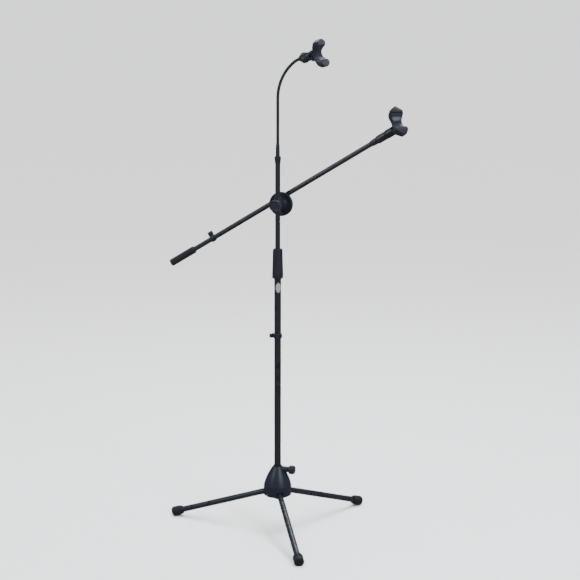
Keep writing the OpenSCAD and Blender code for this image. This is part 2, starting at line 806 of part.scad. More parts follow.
hub_shell();
hub_core();
hub_bush();
hub_screws();
leg_pins();
knob_insert();
leg_tube(0);  // leg_tube_1
leg_tube(1);  // leg_tube_2
leg_tube(2);  // leg_tube_3
leg_knuckle(0);  // leg_knuckle_1
leg_knuckle(1);  // leg_knuckle_2
leg_knuckle(2);  // leg_knuckle_3
leg_foot(0);  // leg_foot_1
leg_foot(1);  // leg_foot_2
leg_foot(2);  // leg_foot_3
base_knob();
base_knob_screw();
lower_tube();
column_end_plug();
column_label();
clutch_collar();
clutch_collet();
column_cable_clip();
clutch_grip();
upper_tube();
mast_guide_bush();
mast_top_nut();
gooseneck_sleeve();
gooseneck(0);  // gooseneck_1
gooseneck(1);  // gooseneck_2
gooseneck(2);  // gooseneck_3
gooseneck(3);  // gooseneck_4
gooseneck(4);  // gooseneck_5
gooseneck(5);  // gooseneck_6
gooseneck_collar();
top_socket_frame() clip_socket(top_socket_back);  // top_clip_socket
top_socket_frame() clip_insert(top_socket_back);  // top_clip_insert
top_socket_frame() clip_screw();  // top_clip_screw
top_socket_frame() clip_nut();  // top_clip_nut
top_clip_frame() clip_body(top_reach);  // top_clip_body
top_clip_frame() clip_pads(top_reach);  // top_clip_pads
clamp_body();
clamp_liner();
draw_bolt();
rear_nut();
friction_washer();
clamp_knob();
thrust_washer();
boom_disc_front();
boom_disc_rear();
boom_tube();
boom_grip();
boom_ferrule();
boom_collar();
boom_cable_clip();
boom_socket_frame() clip_socket(boom_socket_back);  // boom_clip_socket
boom_socket_frame() clip_insert(boom_socket_back);  // boom_clip_insert
boom_socket_frame() {  // boom_clip_fasteners
    clip_screw();
    clip_nut();
}
boom_clip_frame() clip_body(boom_reach);  // boom_clip_body
boom_clip_frame() clip_pads(boom_reach);  // boom_clip_pads
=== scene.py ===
"""Looks of the boom microphone stand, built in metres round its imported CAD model."""
import json
import math

import bmesh
import bpy
import numpy as np
from mathutils import Euler, Matrix, Vector


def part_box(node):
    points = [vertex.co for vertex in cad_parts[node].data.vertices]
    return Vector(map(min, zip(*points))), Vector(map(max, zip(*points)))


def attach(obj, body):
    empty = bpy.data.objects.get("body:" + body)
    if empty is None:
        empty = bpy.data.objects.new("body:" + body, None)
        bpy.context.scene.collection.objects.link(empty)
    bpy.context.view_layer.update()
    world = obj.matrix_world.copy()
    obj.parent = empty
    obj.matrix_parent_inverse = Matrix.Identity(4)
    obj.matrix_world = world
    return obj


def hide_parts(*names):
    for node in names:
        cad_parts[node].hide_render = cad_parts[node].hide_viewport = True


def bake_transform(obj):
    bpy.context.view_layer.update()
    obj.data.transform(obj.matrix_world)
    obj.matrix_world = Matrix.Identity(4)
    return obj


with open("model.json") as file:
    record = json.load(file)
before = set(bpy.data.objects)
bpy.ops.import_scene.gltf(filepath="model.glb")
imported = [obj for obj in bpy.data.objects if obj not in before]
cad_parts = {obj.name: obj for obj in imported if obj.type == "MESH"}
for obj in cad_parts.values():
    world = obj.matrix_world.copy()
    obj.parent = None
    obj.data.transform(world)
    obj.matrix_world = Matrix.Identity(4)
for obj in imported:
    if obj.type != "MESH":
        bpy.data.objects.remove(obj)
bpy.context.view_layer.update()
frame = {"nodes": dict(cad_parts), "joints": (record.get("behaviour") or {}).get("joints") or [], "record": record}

MM = 0.001
UP = Vector((0, 0, 1))
LEGS = (1, 2, 3)
JOINTS = {joint["name"]: joint for joint in frame["joints"]}
BODY_OF = {
    node: body
    for body, nodes in frame["record"]["behaviour"]["bodies"].items()
    for node in nodes
}
SLOT_OF = {part["node"]: part["material_slot"] for part in frame["record"]["subparts"]}


# ------------------------------------------------------------------ camera and light

CAMERA_PLACE = (1.6183, -4.5298, 1.6634)
CAMERA_TURN = math.radians(19.19)
CAMERA_PITCH = math.radians(10.25)
CAMERA_ROLL = math.radians(0.11)
CAMERA_LENS = 94.79
SKY_FOR_CAMERA = 1.5
SKY_FOR_STAND = 0.22
FLOOR_SUN = 4.5
FLOOR_SUN_SPREAD = 60.0
KEY_POWER = 50.0
FILL_POWER = 85.0
OVERHEAD_POWER = 55.0
LIGHT_TINT = (0.85, 0.92, 1.0)
SKY_COLOUR = (0.97, 0.985, 1.0, 1.0)


def make_camera():
    """The camera, at the place and with the turn, pitch, roll and lens above."""
    data = bpy.data.cameras.new("camera")
    data.lens = CAMERA_LENS
    data.sensor_width = 36.0
    data.clip_end = 60.0
    camera = bpy.data.objects.new("camera", data)
    camera.location = CAMERA_PLACE
    tilt = Euler((math.pi / 2 - CAMERA_PITCH, 0.0, CAMERA_TURN)).to_matrix()
    camera.rotation_euler = (tilt @ Matrix.Rotation(CAMERA_ROLL, 3, "Z")).to_euler()
    bpy.context.scene.collection.objects.link(camera)
    bpy.context.scene.camera = camera


def make_light(name, place, aim, size, power):
    """A cool area light at place, turned towards aim."""
    data = bpy.data.lights.new(name, "AREA")
    data.shape = "RECTANGLE"
    data.size, data.size_y = size
    data.energy = power
    data.color = LIGHT_TINT
    light = bpy.data.objects.new(name, data)
    light.location = place
    light.rotation_euler = (Vector(aim) - Vector(place)).to_track_quat("-Z", "Y").to_euler()
    bpy.context.scene.collection.objects.link(light)


def make_studio():
    """White surroundings that the camera sees bright and the stand sees dim."""
    world = bpy.data.worlds.new("studio")
    world.use_nodes = True
    nodes, links = world.node_tree.nodes, world.node_tree.links
    path = nodes.new("ShaderNodeLightPath")
    strength = nodes.new("ShaderNodeMapRange")
    strength.inputs["To Min"].default_value = SKY_FOR_STAND
    strength.inputs["To Max"].default_value = SKY_FOR_CAMERA
    links.new(path.outputs["Is Camera Ray"], strength.inputs["Value"])
    links.new(strength.outputs["Result"], nodes["Background"].inputs["Strength"])
    nodes["Background"].inputs["Color"].default_value = SKY_COLOUR
    bpy.context.scene.world = world
    middle, lower = (0.0, 0.0, 0.8), (0.0, 0.0, 0.5)
    make_light("key", (-2.2, -2.6, 3.2), middle, (0.7, 2.6), KEY_POWER)
    make_light("fill", (3.0, -2.0, 3.0), middle, (0.6, 2.6), FILL_POWER)
    make_light("overhead", (-0.2, 1.7, 3.3), lower, (2.4, 1.6), OVERHEAD_POWER)


def make_floor():
    """A pale floor with a light of its own, which falls on nothing else."""
    bpy.ops.mesh.primitive_plane_add(size=60.0)
    floor = bpy.context.object
    floor.name = "floor"
    material, shader = new_material("floor_paper")
    shader.inputs["Base Color"].default_value = (0.93, 0.93, 0.93, 1.0)
    shader.inputs["Roughness"].default_value = 0.9
    shader.inputs["Specular IOR Level"].default_value = 0.1
    floor.data.materials.append(material)
    floor.visible_diffuse = False
    floor.visible_glossy = False
    data = bpy.data.lights.new("floor_sun", "SUN")
    data.energy = FLOOR_SUN
    data.angle = math.radians(FLOOR_SUN_SPREAD)
    sun = bpy.data.objects.new("floor_sun", data)
    sun.location = (0.0, 0.0, 3.0)
    bpy.context.scene.collection.objects.link(sun)
    receivers = bpy.data.collections.new("floor_only")
    receivers.objects.link(floor)
    sun.light_linking.receiver_collection = receivers


# ------------------------------------------------------------------------- materials

DRIFT_SCALE = 14.0
SPECK_SCALE = 260.0
SPECKS_FROM, SPECKS_TO = 0.68, 0.80
SPECK_WEIGHT = 0.35
BUMP_STRENGTH = 0.6
COAT_ROUGHNESS = 0.25


def new_material(name):
    """A material, and its shader node."""
    material = bpy.data.materials.new(name)
    material.use_nodes = True
    return material, material.node_tree.nodes["Principled BSDF"]


def add_noise(material, scale, detail):
    """Noise in object space."""
    nodes, links = material.node_tree.nodes, material.node_tree.links
    place = nodes.new("ShaderNodeTexCoord")
    noise = nodes.new("ShaderNodeTexNoise")
    noise.inputs["Scale"].default_value = scale
    noise.inputs["Detail"].default_value = detail
    links.new(place.outputs["Object"], noise.inputs["Vector"])
    return noise.outputs["Fac"]


def add_ramp(material, factor, low, high, low_colour, high_colour):
    """The colour for a factor, going from one colour at low to the other at high."""
    nodes, links = material.node_tree.nodes, material.node_tree.links
    ramp = nodes.new("ShaderNodeValToRGB")
    ramp.color_ramp.elements[0].position = low
    ramp.color_ramp.elements[1].position = high
    ramp.color_ramp.elements[0].color = (*low_colour, 1.0)
    ramp.color_ramp.elements[1].color = (*high_colour, 1.0)
    links.new(factor, ramp.inputs["Fac"])
    return ramp.outputs["Color"]


def add_range(material, factor, low, high):
    """A value from low to high that follows the middle of a noise's range."""
    nodes, links = material.node_tree.nodes, material.node_tree.links
    spread = nodes.new("ShaderNodeMapRange")
    spread.inputs["From Min"].default_value = 0.3
    spread.inputs["From Max"].default_value = 0.7
    spread.inputs["To Min"].default_value = low
    spread.inputs["To Max"].default_value = high
    links.new(factor, spread.inputs["Value"])
    return spread.outputs["Result"]


def mix_in(material, factor, base, colour):
    """The base, with a plain colour mixed in by factor."""
    nodes, links = material.node_tree.nodes, material.node_tree.links
    mix = nodes.new("ShaderNodeMixRGB")
    links.new(factor, mix.inputs["Fac"])
    links.new(base, mix.inputs["Color1"])
    mix.inputs["Color2"].default_value = (*colour, 1.0)
    return mix.outputs["Color"]


def make_finish(name, dark, light, rough, grain, depth, wear, metal=0.0, coat=0.0, sheen=0.0):
    """A surface whose colour and roughness drift, with a fine grain and worn specks.

    dark and light are the ends of its colour, rough the ends of its roughness, grain the
    scale of its bumps per metre, depth their height in metres, and wear the worn colour.
    """
    material, shader = new_material(name)
    nodes, links = material.node_tree.nodes, material.node_tree.links
    drift = add_noise(material, DRIFT_SCALE, 3.0)
    specks = add_noise(material, SPECK_SCALE, 6.0)
    base = add_ramp(material, drift, 0.3, 0.7, dark, light)
    worn = add_ramp(
        material, specks, SPECKS_FROM, SPECKS_TO, (0.0, 0.0, 0.0), (SPECK_WEIGHT,) * 3)
    links.new(mix_in(material, worn, base, wear), shader.inputs["Base Color"])
    links.new(add_range(material, drift, *rough), shader.inputs["Roughness"])
    bump = nodes.new("ShaderNodeBump")
    bump.inputs["Distance"].default_value = depth
    bump.inputs["Strength"].default_value = BUMP_STRENGTH
    links.new(add_noise(material, grain, 5.0), bump.inputs["Height"])
    links.new(bump.outputs["Normal"], shader.inputs["Normal"])
    shader.inputs["Metallic"].default_value = metal
    shader.inputs["Coat Weight"].default_value = coat
    shader.inputs["Coat Roughness"].default_value = COAT_ROUGHNESS
    shader.inputs["Sheen Weight"].default_value = sheen
    return material


def make_finishes():
    """One material for each material slot of the record."""
    return {
        "hub_plastic": make_finish(
            "hub_plastic", (0.024, 0.030, 0.049), (0.033, 0.040, 0.063), (0.36, 0.46),
            1500.0, 0.00012, (0.06, 0.065, 0.08)),
        "core_plastic": make_finish(
            "core_plastic", (0.010, 0.011, 0.015), (0.018, 0.020, 0.026), (0.50, 0.62),
            1200.0, 0.0001, (0.05, 0.05, 0.05)),
        "black_tube": make_finish(
            "black_tube", (0.025, 0.029, 0.039), (0.030, 0.035, 0.046), (0.26, 0.31),
            2200.0, 0.00005, (0.05, 0.055, 0.065), coat=0.3),
        "black_metal": make_finish(
            "black_metal", (0.026, 0.029, 0.041), (0.036, 0.040, 0.055), (0.26, 0.38),
            1800.0, 0.00007, (0.09, 0.095, 0.11), coat=0.2),
        "hose_skin": make_finish(
            "hose_skin", (0.018, 0.020, 0.025), (0.028, 0.030, 0.037), (0.30, 0.42),
            1800.0, 0.00005, (0.06, 0.06, 0.065)),
        "black_plastic": make_finish(
            "black_plastic", (0.024, 0.027, 0.043), (0.034, 0.038, 0.058), (0.30, 0.42),
            1500.0, 0.0001, (0.06, 0.065, 0.08)),
        "rubber": make_finish(
            "rubber", (0.016, 0.018, 0.027), (0.026, 0.029, 0.042), (0.50, 0.64),
            1400.0, 0.00015, (0.06, 0.065, 0.08), sheen=0.1),
        "pad_rubber": make_finish(
            "pad_rubber", (0.085, 0.086, 0.112), (0.115, 0.116, 0.148), (0.50, 0.62),
            1600.0, 0.0001, (0.17, 0.17, 0.20), sheen=0.1),
        "zinc_steel": make_finish(
            "zinc_steel", (0.50, 0.51, 0.53), (0.66, 0.67, 0.69), (0.22, 0.36),
            900.0, 0.00004, (0.30, 0.29, 0.28), metal=1.0),
        "brass": make_finish(
            "brass", (0.50, 0.36, 0.14), (0.66, 0.49, 0.22), (0.26, 0.40),
            900.0, 0.00004, (0.30, 0.20, 0.09), metal=1.0),
        "label": make_finish(
            "label", (0.74, 0.75, 0.77), (0.84, 0.85, 0.87), (0.28, 0.36),
            1200.0, 0.00002, (0.45, 0.45, 0.46), coat=0.5),
    }


# ------------------------------------------------------------------------ mesh tools

SOFTEN_ANGLE = 30.0
FLAT_ANGLE = 1.0
WELD_DISTANCE = 2e-6
ON_AXIS = 1e-7
MOST_OF_A_SIDE = 0.45


def is_sharp(edge, angle):
    """Whether an edge between two faces bends by more than angle degrees."""
    return len(edge.link_faces) == 2 and edge.calc_face_angle(0.0) > math.radians(angle)


def sharpen(work, smooth_angle=35.0):
    """Smooth shading everywhere except across sharp edges."""
    for face in work.faces:
        face.smooth = True
    for edge in work.edges:
        edge.smooth = not is_sharp(edge, smooth_angle)


def finish_mesh(name, work, smooth_angle=35.0):
    """A new object from a bmesh, smooth except across sharp edges."""
    mesh = bpy.data.meshes.new(name)
    bmesh.ops.recalc_face_normals(work, faces=work.faces)
    sharpen(work, smooth_angle)
    work.to_mesh(mesh)
    work.free()
    piece = bpy.data.objects.new(name, mesh)
    bpy.context.scene.collection.objects.link(piece)
    return piece


def stands_for(piece, *nodes):
    """piece rides with the CAD nodes that it replaces, in their finish."""
    piece.data.materials.clear()
    piece.data.materials.append(FINISHES[SLOT_OF[nodes[0]]])
    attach(piece, BODY_OF[nodes[0]])
    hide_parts(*nodes)


def extra(piece, node, slot=None):
    """piece is a detail that rides with a CAD node's body and hides nothing."""
    slot = slot or SLOT_OF[node]
    piece.data.materials.clear()
    piece.data.materials.append(FINISHES[slot])
    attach(piece, BODY_OF[node])


def along(origin, direction, side=None):
    """Frame with its Z along direction, and its X as near as may be to side."""
    z = Vector(direction).normalized()
    side = Vector(side) if side is not None else (UP if abs(z.z) < 0.9 else Vector((1, 0, 0)))
    x = (side - side.dot(z) * z).normalized()
    y = z.cross(x)
    turn = Matrix((x, y, z)).transposed().to_4x4()
    return Matrix.Translation(Vector(origin)) @ turn


def mm(*points):
    """The points, given in millimetres, in metres."""
    return [tuple(value * MM for value in point) for point in points]


def rounded(profile, radius=0.6 * MM, steps=3):
    """The open profile with each inner corner rounded."""
    points = [Vector(point) for point in profile]
    out = [points[0]]
    for before, corner, after in zip(points, points[1:], points[2:]):
        reach_in = min(radius, MOST_OF_A_SIDE * (corner - before).length)
        reach_out = min(radius, MOST_OF_A_SIDE * (after - corner).length)
        start = corner + (before - corner).normalized() * reach_in
        end = corner + (after - corner).normalized() * reach_out
        for i in range(steps + 1):
            t = i / steps
            out.append(start * (1 - t) ** 2 + corner * 2 * t * (1 - t) + end * t * t)
    out.append(points[-1])
    return out


def arc(middle, size, start, end, count):
    """Points of a profile on a circle of radius size, between two angles in radians."""
    return [(middle[0] + size * math.cos(angle), middle[1] + size * math.sin(angle))
            for angle in np.linspace(start, end, count)]


def groove(height, outer, inner, slope, width):
    """The four points of a groove in a profile, from radius outer down to inner and back."""
    return [(outer, height), (inner, height + slope),
            (inner, height + width - slope), (outer, height + width)]


def join_rings(work, rings, closed=False):
    """Faces from each ring of points to the next. A ring of one point is a tip."""
    pairs = list(zip(rings, rings[1:]))
    if closed:
        pairs.append((rings[-1], rings[0]))
    for low, high in pairs:
        steps = max(len(low), len(high))
        for i in range(steps):
            j = (i + 1) % steps
            corners = [low[i % len(low)], low[j % len(low)],
                       high[j % len(high)], high[i % len(high)]]
            corners = list(dict.fromkeys(corners))
            if len(corners) > 2:
                work.faces.new(corners)


def spin(name, profile, place, steps=72, shape=None, closed=False):
    """Turns a profile of (radius, height) about the place's Z.

    shape(angle, radius, height) may change the radius, for flutes and flats. A closed
    profile is a loop, for a piece with a bore.
    """
    work = bmesh.new()
    rings = []
    for radius, height in profile:
        if radius < ON_AXIS:
            rings.append([work.verts.new(place @ Vector((0, 0, height)))])
            continue
        ring = []
        for i in range(steps):
            angle = 2 * math.pi * i / steps
            r = shape(angle, radius, height) if shape else radius
            ring.append(work.verts.new(
                place @ Vector((r * math.cos(angle), r * math.sin(angle), height))))
        rings.append(ring)
    join_rings(work, rings, closed)
    return finish_mesh(name, work)


def ring_profile(inner, profile, radius=0.5 * MM):
    """A closed profile for spin: an outer profile joined to a bore of radius inner."""
    low, high = profile[0][1], profile[-1][1]
    return rounded([(inner, low), *profile, (inner, high)], radius)


def apply_modifiers(piece):
    """Makes the piece's modified mesh its own mesh."""
    depsgraph = bpy.context.evaluated_depsgraph_get()
    result = bpy.data.meshes.new_from_object(piece.evaluated_get(depsgraph))
    piece.modifiers.clear()
    piece.data = result


def cut(piece, *cutters):
    """Takes the cutters out of the piece and deletes them."""
    for cutter in cutters:
        boolean = piece.modifiers.new("cut", "BOOLEAN")
        boolean.operation = "DIFFERENCE"
        boolean.solver = "EXACT"
        boolean.object = cutter
        apply_modifiers(piece)
        bpy.data.objects.remove(cutter)
    work = bmesh.new()
    work.from_mesh(piece.data)
    sharpen(work)
    work.to_mesh(piece.data)
    work.free()


def block(name, place, size):
    """A box centred in its place's frame."""
    work = bmesh.new()
    bmesh.ops.create_cube(work, size=1.0, matrix=place @ Matrix.Diagonal((*size, 1.0)))
    return finish_mesh(name, work)


def softened(node, width, trims=()):
    """A copy of a CAD node with its sharp edges rounded over width.

    trims are planes, each a point and an outward normal, that corners are cut off at.
    """
    work = bmesh.new()
    work.from_mesh(frame["nodes"][node].data)
    bmesh.ops.remove_doubles(work, verts=work.verts, dist=WELD_DISTANCE)
    bmesh.ops.dissolve_limit(
        work, angle_limit=math.radians(FLAT_ANGLE), verts=work.verts, edges=work.edges)
    for place, outward in trims:
        everything = work.verts[:] + work.edges[:] + work.faces[:]
        bmesh.ops.bisect_plane(
            work, geom=everything, plane_co=place, plane_no=outward, clear_outer=True)
        rim = [edge for edge in work.edges if len(edge.link_faces) == 1]
        bmesh.ops.edgeloop_fill(work, edges=rim)
    sharp = [edge for edge in work.edges if is_sharp(edge, SOFTEN_ANGLE)]
    bmesh.ops.bevel(
        work, geom=sharp, offset=width, segments=3, profile=0.5,
        affect="EDGES", clamp_overlap=True)
    return finish_mesh(f"{node}_skin", work, SOFTEN_ANGLE)


def mesh_line(node):
    """The two ends of a long straight node's axis."""
    mesh = frame["nodes"][node].data
    points = np.empty(len(mesh.vertices) * 3)
    mesh.vertices.foreach_get("co", points)
    points = points.reshape(-1, 3)
    middle = (points.max(axis=0) + points.min(axis=0)) / 2
    direction = np.linalg.svd(points - points.mean(axis=0), full_matrices=False)[2][0]
    reach = (points - middle) @ direction
    return Vector(middle + direction * reach.min()), Vector(middle + direction * reach.max())


# ---------------------------------------------------------------------- tripod base

def leg_way(n):
    """The level way that a leg points, out from the column."""
    return Vector((*JOINTS[f"leg_fold_{n}"]["pos_m"][:2], 0)).normalized()


def make_hub():
    """The bell-shaped shell with its three slots, and the boss that the knob screws into."""
    low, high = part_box("hub_shell")
    radius = -low[0]
    floor, top = low[2], high[2]
    band = floor + 33 * MM
    wall = 3.2 * MM
    neck = 16.5 * MM
    shoulder = (radius - 7 * MM, floor + 66 * MM)
    heel, heel_points = 8 * MM, 8
    outer = arc((radius - 0.5 * MM - heel, floor + heel), heel, -math.pi / 2, 0, heel_points)
    outer += [(radius - 0.5 * MM, band - 0.6 * MM), (radius - 1.1 * MM, band - 0.2 * MM),
              (radius - 1.1 * MM, band + 0.3 * MM), (radius, band + 0.7 * MM)]
    for t in np.linspace(0, 1, 25)[1:]:
        outer.append(tuple(
            (1 - t) ** 2 * a + 2 * t * (1 - t) * b + t * t * c
            for a, b, c in zip((radius, band + 0.7 * MM), shoulder, (neck, top - 1.2 * MM))))
    outer += [(neck - 0.3 * MM, top - 0.3 * MM), (neck - 1.0 * MM, top)]
    bore, neck_wall = 13 * MM, 2 * MM
    inner = [(max(r - (wall if r > 20 * MM else neck_wall), bore), h)
             for r, h in reversed(outer[heel_points:-2])]
    profile = outer + [(bore - 0.2 * MM, top)] + inner + [(radius - heel, floor + wall)]
    shell = spin("hub_shell_skin", profile, Matrix(), 128, closed=True)
    knob_height = JOINTS["base_knob_turn"]["pos_m"][2]
    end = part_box("base_knob")[0].x - 0.6 * MM
    boss = spin("hub_boss", rounded([
        (0.0, 17 * MM), (9.8 * MM, 17 * MM), (9.2 * MM, 27 * MM), (9.2 * MM, end),
        (4.0 * MM, end), (4.0 * MM, end - 4 * MM), (0.0, end - 4 * MM)], 0.8 * MM),
        along((0, 0, knob_height), (1, 0, 0)))
    slot = (26 * MM, 21.6 * MM, 21 * MM)
    for n in LEGS:
        out = leg_way(n)
        cut(shell, block("slot", along(out * 36 * MM + UP * (floor + 10 * MM), UP, out), slot))
    stands_for(shell, "hub_shell")
    extra(boss, "hub_shell")


def make_slot_lips():
    """A raised lip round each slot that a leg comes out of."""
    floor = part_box("hub_shell")[0].z
    face = 45.6 * MM
    half, height, corner = 10.8 * MM, 20.5 * MM, 4 * MM
    path = [(-half, 1 * MM), (-half, height - corner), (-half + corner, height),
            (half - corner, height), (half, height - corner), (half, 1 * MM)]
    section = mm((0.0, -1.6), (0.0, 0.9), (1.4, 0.9), (1.8, -1.6))
    for n in LEGS:
        out = leg_way(n)
        side = Vector((-out.y, out.x, 0))
        work = bmesh.new()
        rows = []
        for u, h in path:
            outward = Vector((u, h - 8 * MM, 0)).normalized()
            row = []
            for grow, lift in section:
                across = u + outward.x * grow
                up = h + outward.y * grow
                r = math.sqrt(face ** 2 - across ** 2) + lift
                row.append(work.verts.new(out * r + side * across + UP * (floor + up)))
            rows.append(row)
        join_rings(work, rows)
        work.faces.new(rows[0][::-1])
        work.faces.new(rows[-1])
        lip = finish_mesh(f"slot_lip_{n}", work)
        extra(lip, "hub_shell")


def make_hub_screws():
    """Dome heads with a cross recess, each opposite a leg."""
    low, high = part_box("hub_screws")
    height = (low[2] + high[2]) / 2
    face = 45.1 * MM
    dome = 2.4
    for n in LEGS:
        out = -leg_way(n)
        head = spin(f"hub_screw_{n}", mm(
            (0.0, -6.0), (2.0, -6.0), (2.0, 0.0), (3.4, 0.0), (3.4, 0.5), (3.2, 1.2),
            (2.5, 1.9), (1.4, 2.3), (0.0, dome)),
            along(out * face + UP * height, out), 40)
        crown = along(out * (face + dome * MM) + UP * height, out)
        cut(head, block("cross", crown, (3.4 * MM, 0.7 * MM, 2.0 * MM)),
            block("cross", crown, (0.7 * MM, 3.4 * MM, 2.0 * MM)))
        if n == LEGS[0]:
            stands_for(head, "hub_screws")
        else:
            extra(head, "hub_screws")


def make_foot(n):
    """Rubber foot with three grooves round it, cut flat where it stands."""
    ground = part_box(f"leg_foot_{n}")[0].z
    near, far = sorted(mesh_line(f"leg_tube_{n}"), key=lambda end: end.xy.length)
    out = (far - near).normalized()
    length, radius, collar, toe = 36.0, 16.0, 14.2, 5.0
    profile = [(9.6, 0.0), (collar - 1.6, 0.0), (collar, 1.8), (collar, 5.6), (radius, 8.4)]
    for i in range(3):
        profile += groove(13.0 + 3.2 * i, radius, radius - 0.7, 0.5, 1.6)
    profile += arc((radius - toe, length - toe), toe, 0, math.pi / 2, 7)
    profile += [(0.0, length)]
    start = far + out * (4.0 - length) * MM
    foot = spin(f"leg_foot_{n}_skin", rounded(mm(*profile), 0.5 * MM), along(start, out), 80)
    work = bmesh.new()
    work.from_mesh(foot.data)
    result = bmesh.ops.bisect_plane(
        work, geom=work.verts[:] + work.edges[:] + work.faces[:], plane_co=(0, 0, ground),
        plane_no=(0, 0, -1), clear_outer=True)
    edges = [item for item in result["geom_cut"] if isinstance(item, bmesh.types.BMEdge)]
    bmesh.ops.edgeloop_fill(work, edges=edges)
    sharpen(work)
    work.to_mesh(foot.data)
    work.free()
    stands_for(foot, f"leg_foot_{n}")


def make_base_knob():
    """A round knob with eight shallow hollows along its rim."""
    low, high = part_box("base_knob")
    radius = (high[2] - low[2]) / 2
    length = high[0] - low[0]
    height = (high[2] + low[2]) / 2
    hollows, hollow_depth = 8, 1.5 * MM

    def flutes(angle, r, h):
        if r < 0.75 * radius or h < 2.6 * MM:
            return r
        return r - hollow_depth * max(0.0, math.cos(hollows * angle)) ** 2

    profile = rounded([
        (0.0, 0.0), (8.6 * MM, 0.0), (8.8 * MM, 1.0 * MM), (radius - 1.2 * MM, 1.8 * MM),
        (radius, 3.2 * MM), (radius, length - 2.2 * MM), (radius - 2.0 * MM, length),
        (radius - 4.4 * MM, length), (radius - 5.0 * MM, length - 0.8 * MM),
        (4.0 * MM, length - 0.8 * MM), (3.4 * MM, length), (0.0, length)], 0.7 * MM)
    knob = spin("base_knob_skin", profile, along((low[0], 0, height), (1, 0, 0)), 128, flutes)
    stands_for(knob, "base_knob")


# --------------------------------------------------------------------------- column

def make_column_plug():
    """The rubber plug in the column's lower end."""
    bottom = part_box("column_end_plug")[0].z
    plug = spin("column_plug_skin", rounded(mm(
        (0.0, 0.0), (10.0, 0.0), (11.0, 1.2), (11.0, 6.0), (9.4, 6.0), (9.4, 19.0),
        (0.0, 19.0))), Matrix.Translation((0, 0, bottom)))
    stands_for(plug, "column_end_plug")


def make_label():
    """The film label's thin raised border. The label itself is the CAD node."""
    low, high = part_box("column_label")
    middle = (Vector(low) + Vector(high)) / 2
    out = Vector((middle.x, middle.y, 0)).normalized()
    bearing = math.atan2(out.y, out.x)
    radius = 11.35 * MM
    half_width, half_height = 8.3 * MM, 15.2 * MM
    section = mm((0.0, 0.0), (0.15, 0.08), (0.55, 0.08), (0.7, 0.0))
    steps = 72
    work = bmesh.new()
    rows = []
    for i in range(steps):
        t = 2 * math.pi * i / steps
        row = []
        for inset, lift in section:
            angle = bearing + (half_width - inset) * math.cos(t) / radius
            r = radius + lift
            row.append(work.verts.new((
                r * math.cos(angle), r * math.sin(angle),
                middle.z + (half_height - inset) * math.sin(t))))
        rows.append(row)
    join_rings(work, rows, closed=True)
    extra(finish_mesh("label_border", work), "column_label", "black_plastic")


def make_clutch_collar():
    """A short collar with four fine grooves round it."""
    low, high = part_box("clutch_collar")
    radius = 13.4
    profile = [(12.2, 0.0), (radius, 3.8)]
    for i in range(4):
        ring = 5.0 + 1.2 * i
        profile += [(radius, ring), (radius - 0.5, ring + 0.3), (radius, ring + 0.6)]
    profile += [(radius, (high[2] - low[2]) / MM)]
    collar = spin("clutch_collar_skin", ring_profile(11.05 * MM, mm(*profile), 0.3 * MM),
                  Matrix.Translation((0, 0, low[2])), 72, closed=True)
    stands_for(collar, "clutch_collar")


def make_clutch_grip():
    """A tapered grip: six soft flats that fade upwards, and grooves round its foot."""
    low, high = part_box("clutch_grip")
    height = (high[2] - low[2]) / MM
    foot, top, rim = 18.8, 15.6, 2.4
    flat, blur = 17.2 * MM, 0.35 * MM
    bore_limit = 13 * MM
    turn = math.radians(12)

    def flats(angle, r, h):
        if r < bore_limit:
            return r
        across = (angle - turn + math.pi / 6) % (math.pi / 3) - math.pi / 6
        side = flat / math.cos(across)
        return -blur * math.log(math.exp(-side / blur) + math.exp(-r / blur))

    outer = [(foot - 1.8, 0.0), (foot - 0.4, 0.8), (foot, 2.2)]
    for i in range(2):
        outer += groove(6.0 + 3.0 * i, foot - 0.1, foot - 2.2, 0.5, 1.5)
    outer += [(foot - 0.2, 12.0), (top + 0.1, height - 4.0)]
    outer += arc((top - rim, height - rim), rim, 0.2, math.pi / 2, 7)
    grip = spin("clutch_grip_skin", ring_profile(8.5 * MM, mm(*outer), 0.3 * MM),
                Matrix.Translation((0, 0, low[2])), 144, flats, closed=True)
    stands_for(grip, "clutch_grip")


# --------------------------------------------------------------- mast and gooseneck

def knurl(teeth, depth, low, high):
    """A shape for spin: straight teeth between two heights."""
    def shape(angle, r, h):
        if not low <= h <= high:
            return r
        return r - depth * (0.5 - 0.5 * math.cos(teeth * angle))
    return shape


def make_top_nut():
    """The knurled nut on the mast, and the tapered sleeve that the gooseneck grows from."""
    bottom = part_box("mast_top_nut")[0].z
    nut = spin("mast_nut_skin", rounded(mm(
        (8.05, 0.0), (9.0, 0.0), (9.7, 9.0), (10.25, 11.0), (10.25, 20.2), (9.5, 21.5),
        (3.0, 21.5), (3.0, 12.1), (8.05, 12.1)), 0.4 * MM),
        Matrix.Translation((0, 0, bottom)), 144,
        knurl(36, 0.35 * MM, 11.5 * MM, 20.0 * MM), closed=True)
    stands_for(nut, "mast_top_nut")
    turn = JOINTS["gooseneck_turn"]["pos_m"][2]
    sleeve = spin("gooseneck_sleeve_skin", rounded(mm(
        (0.0, -9.0), (2.9, -9.0), (2.9, 0.0), (6.75, 0.0), (6.75, 7.0), (6.4, 8.0),
        (6.4, 9.0), (6.75, 10.0), (5.9, 36.0), (5.3, 38.8), (4.6, 38.8), (4.6, 34.2),
        (0.0, 34.2)), 0.5 * MM),
        Matrix.Translation((0, 0, turn)), 72)
    stands_for(sleeve, "gooseneck_sleeve")


HOSE_STEPS = 120


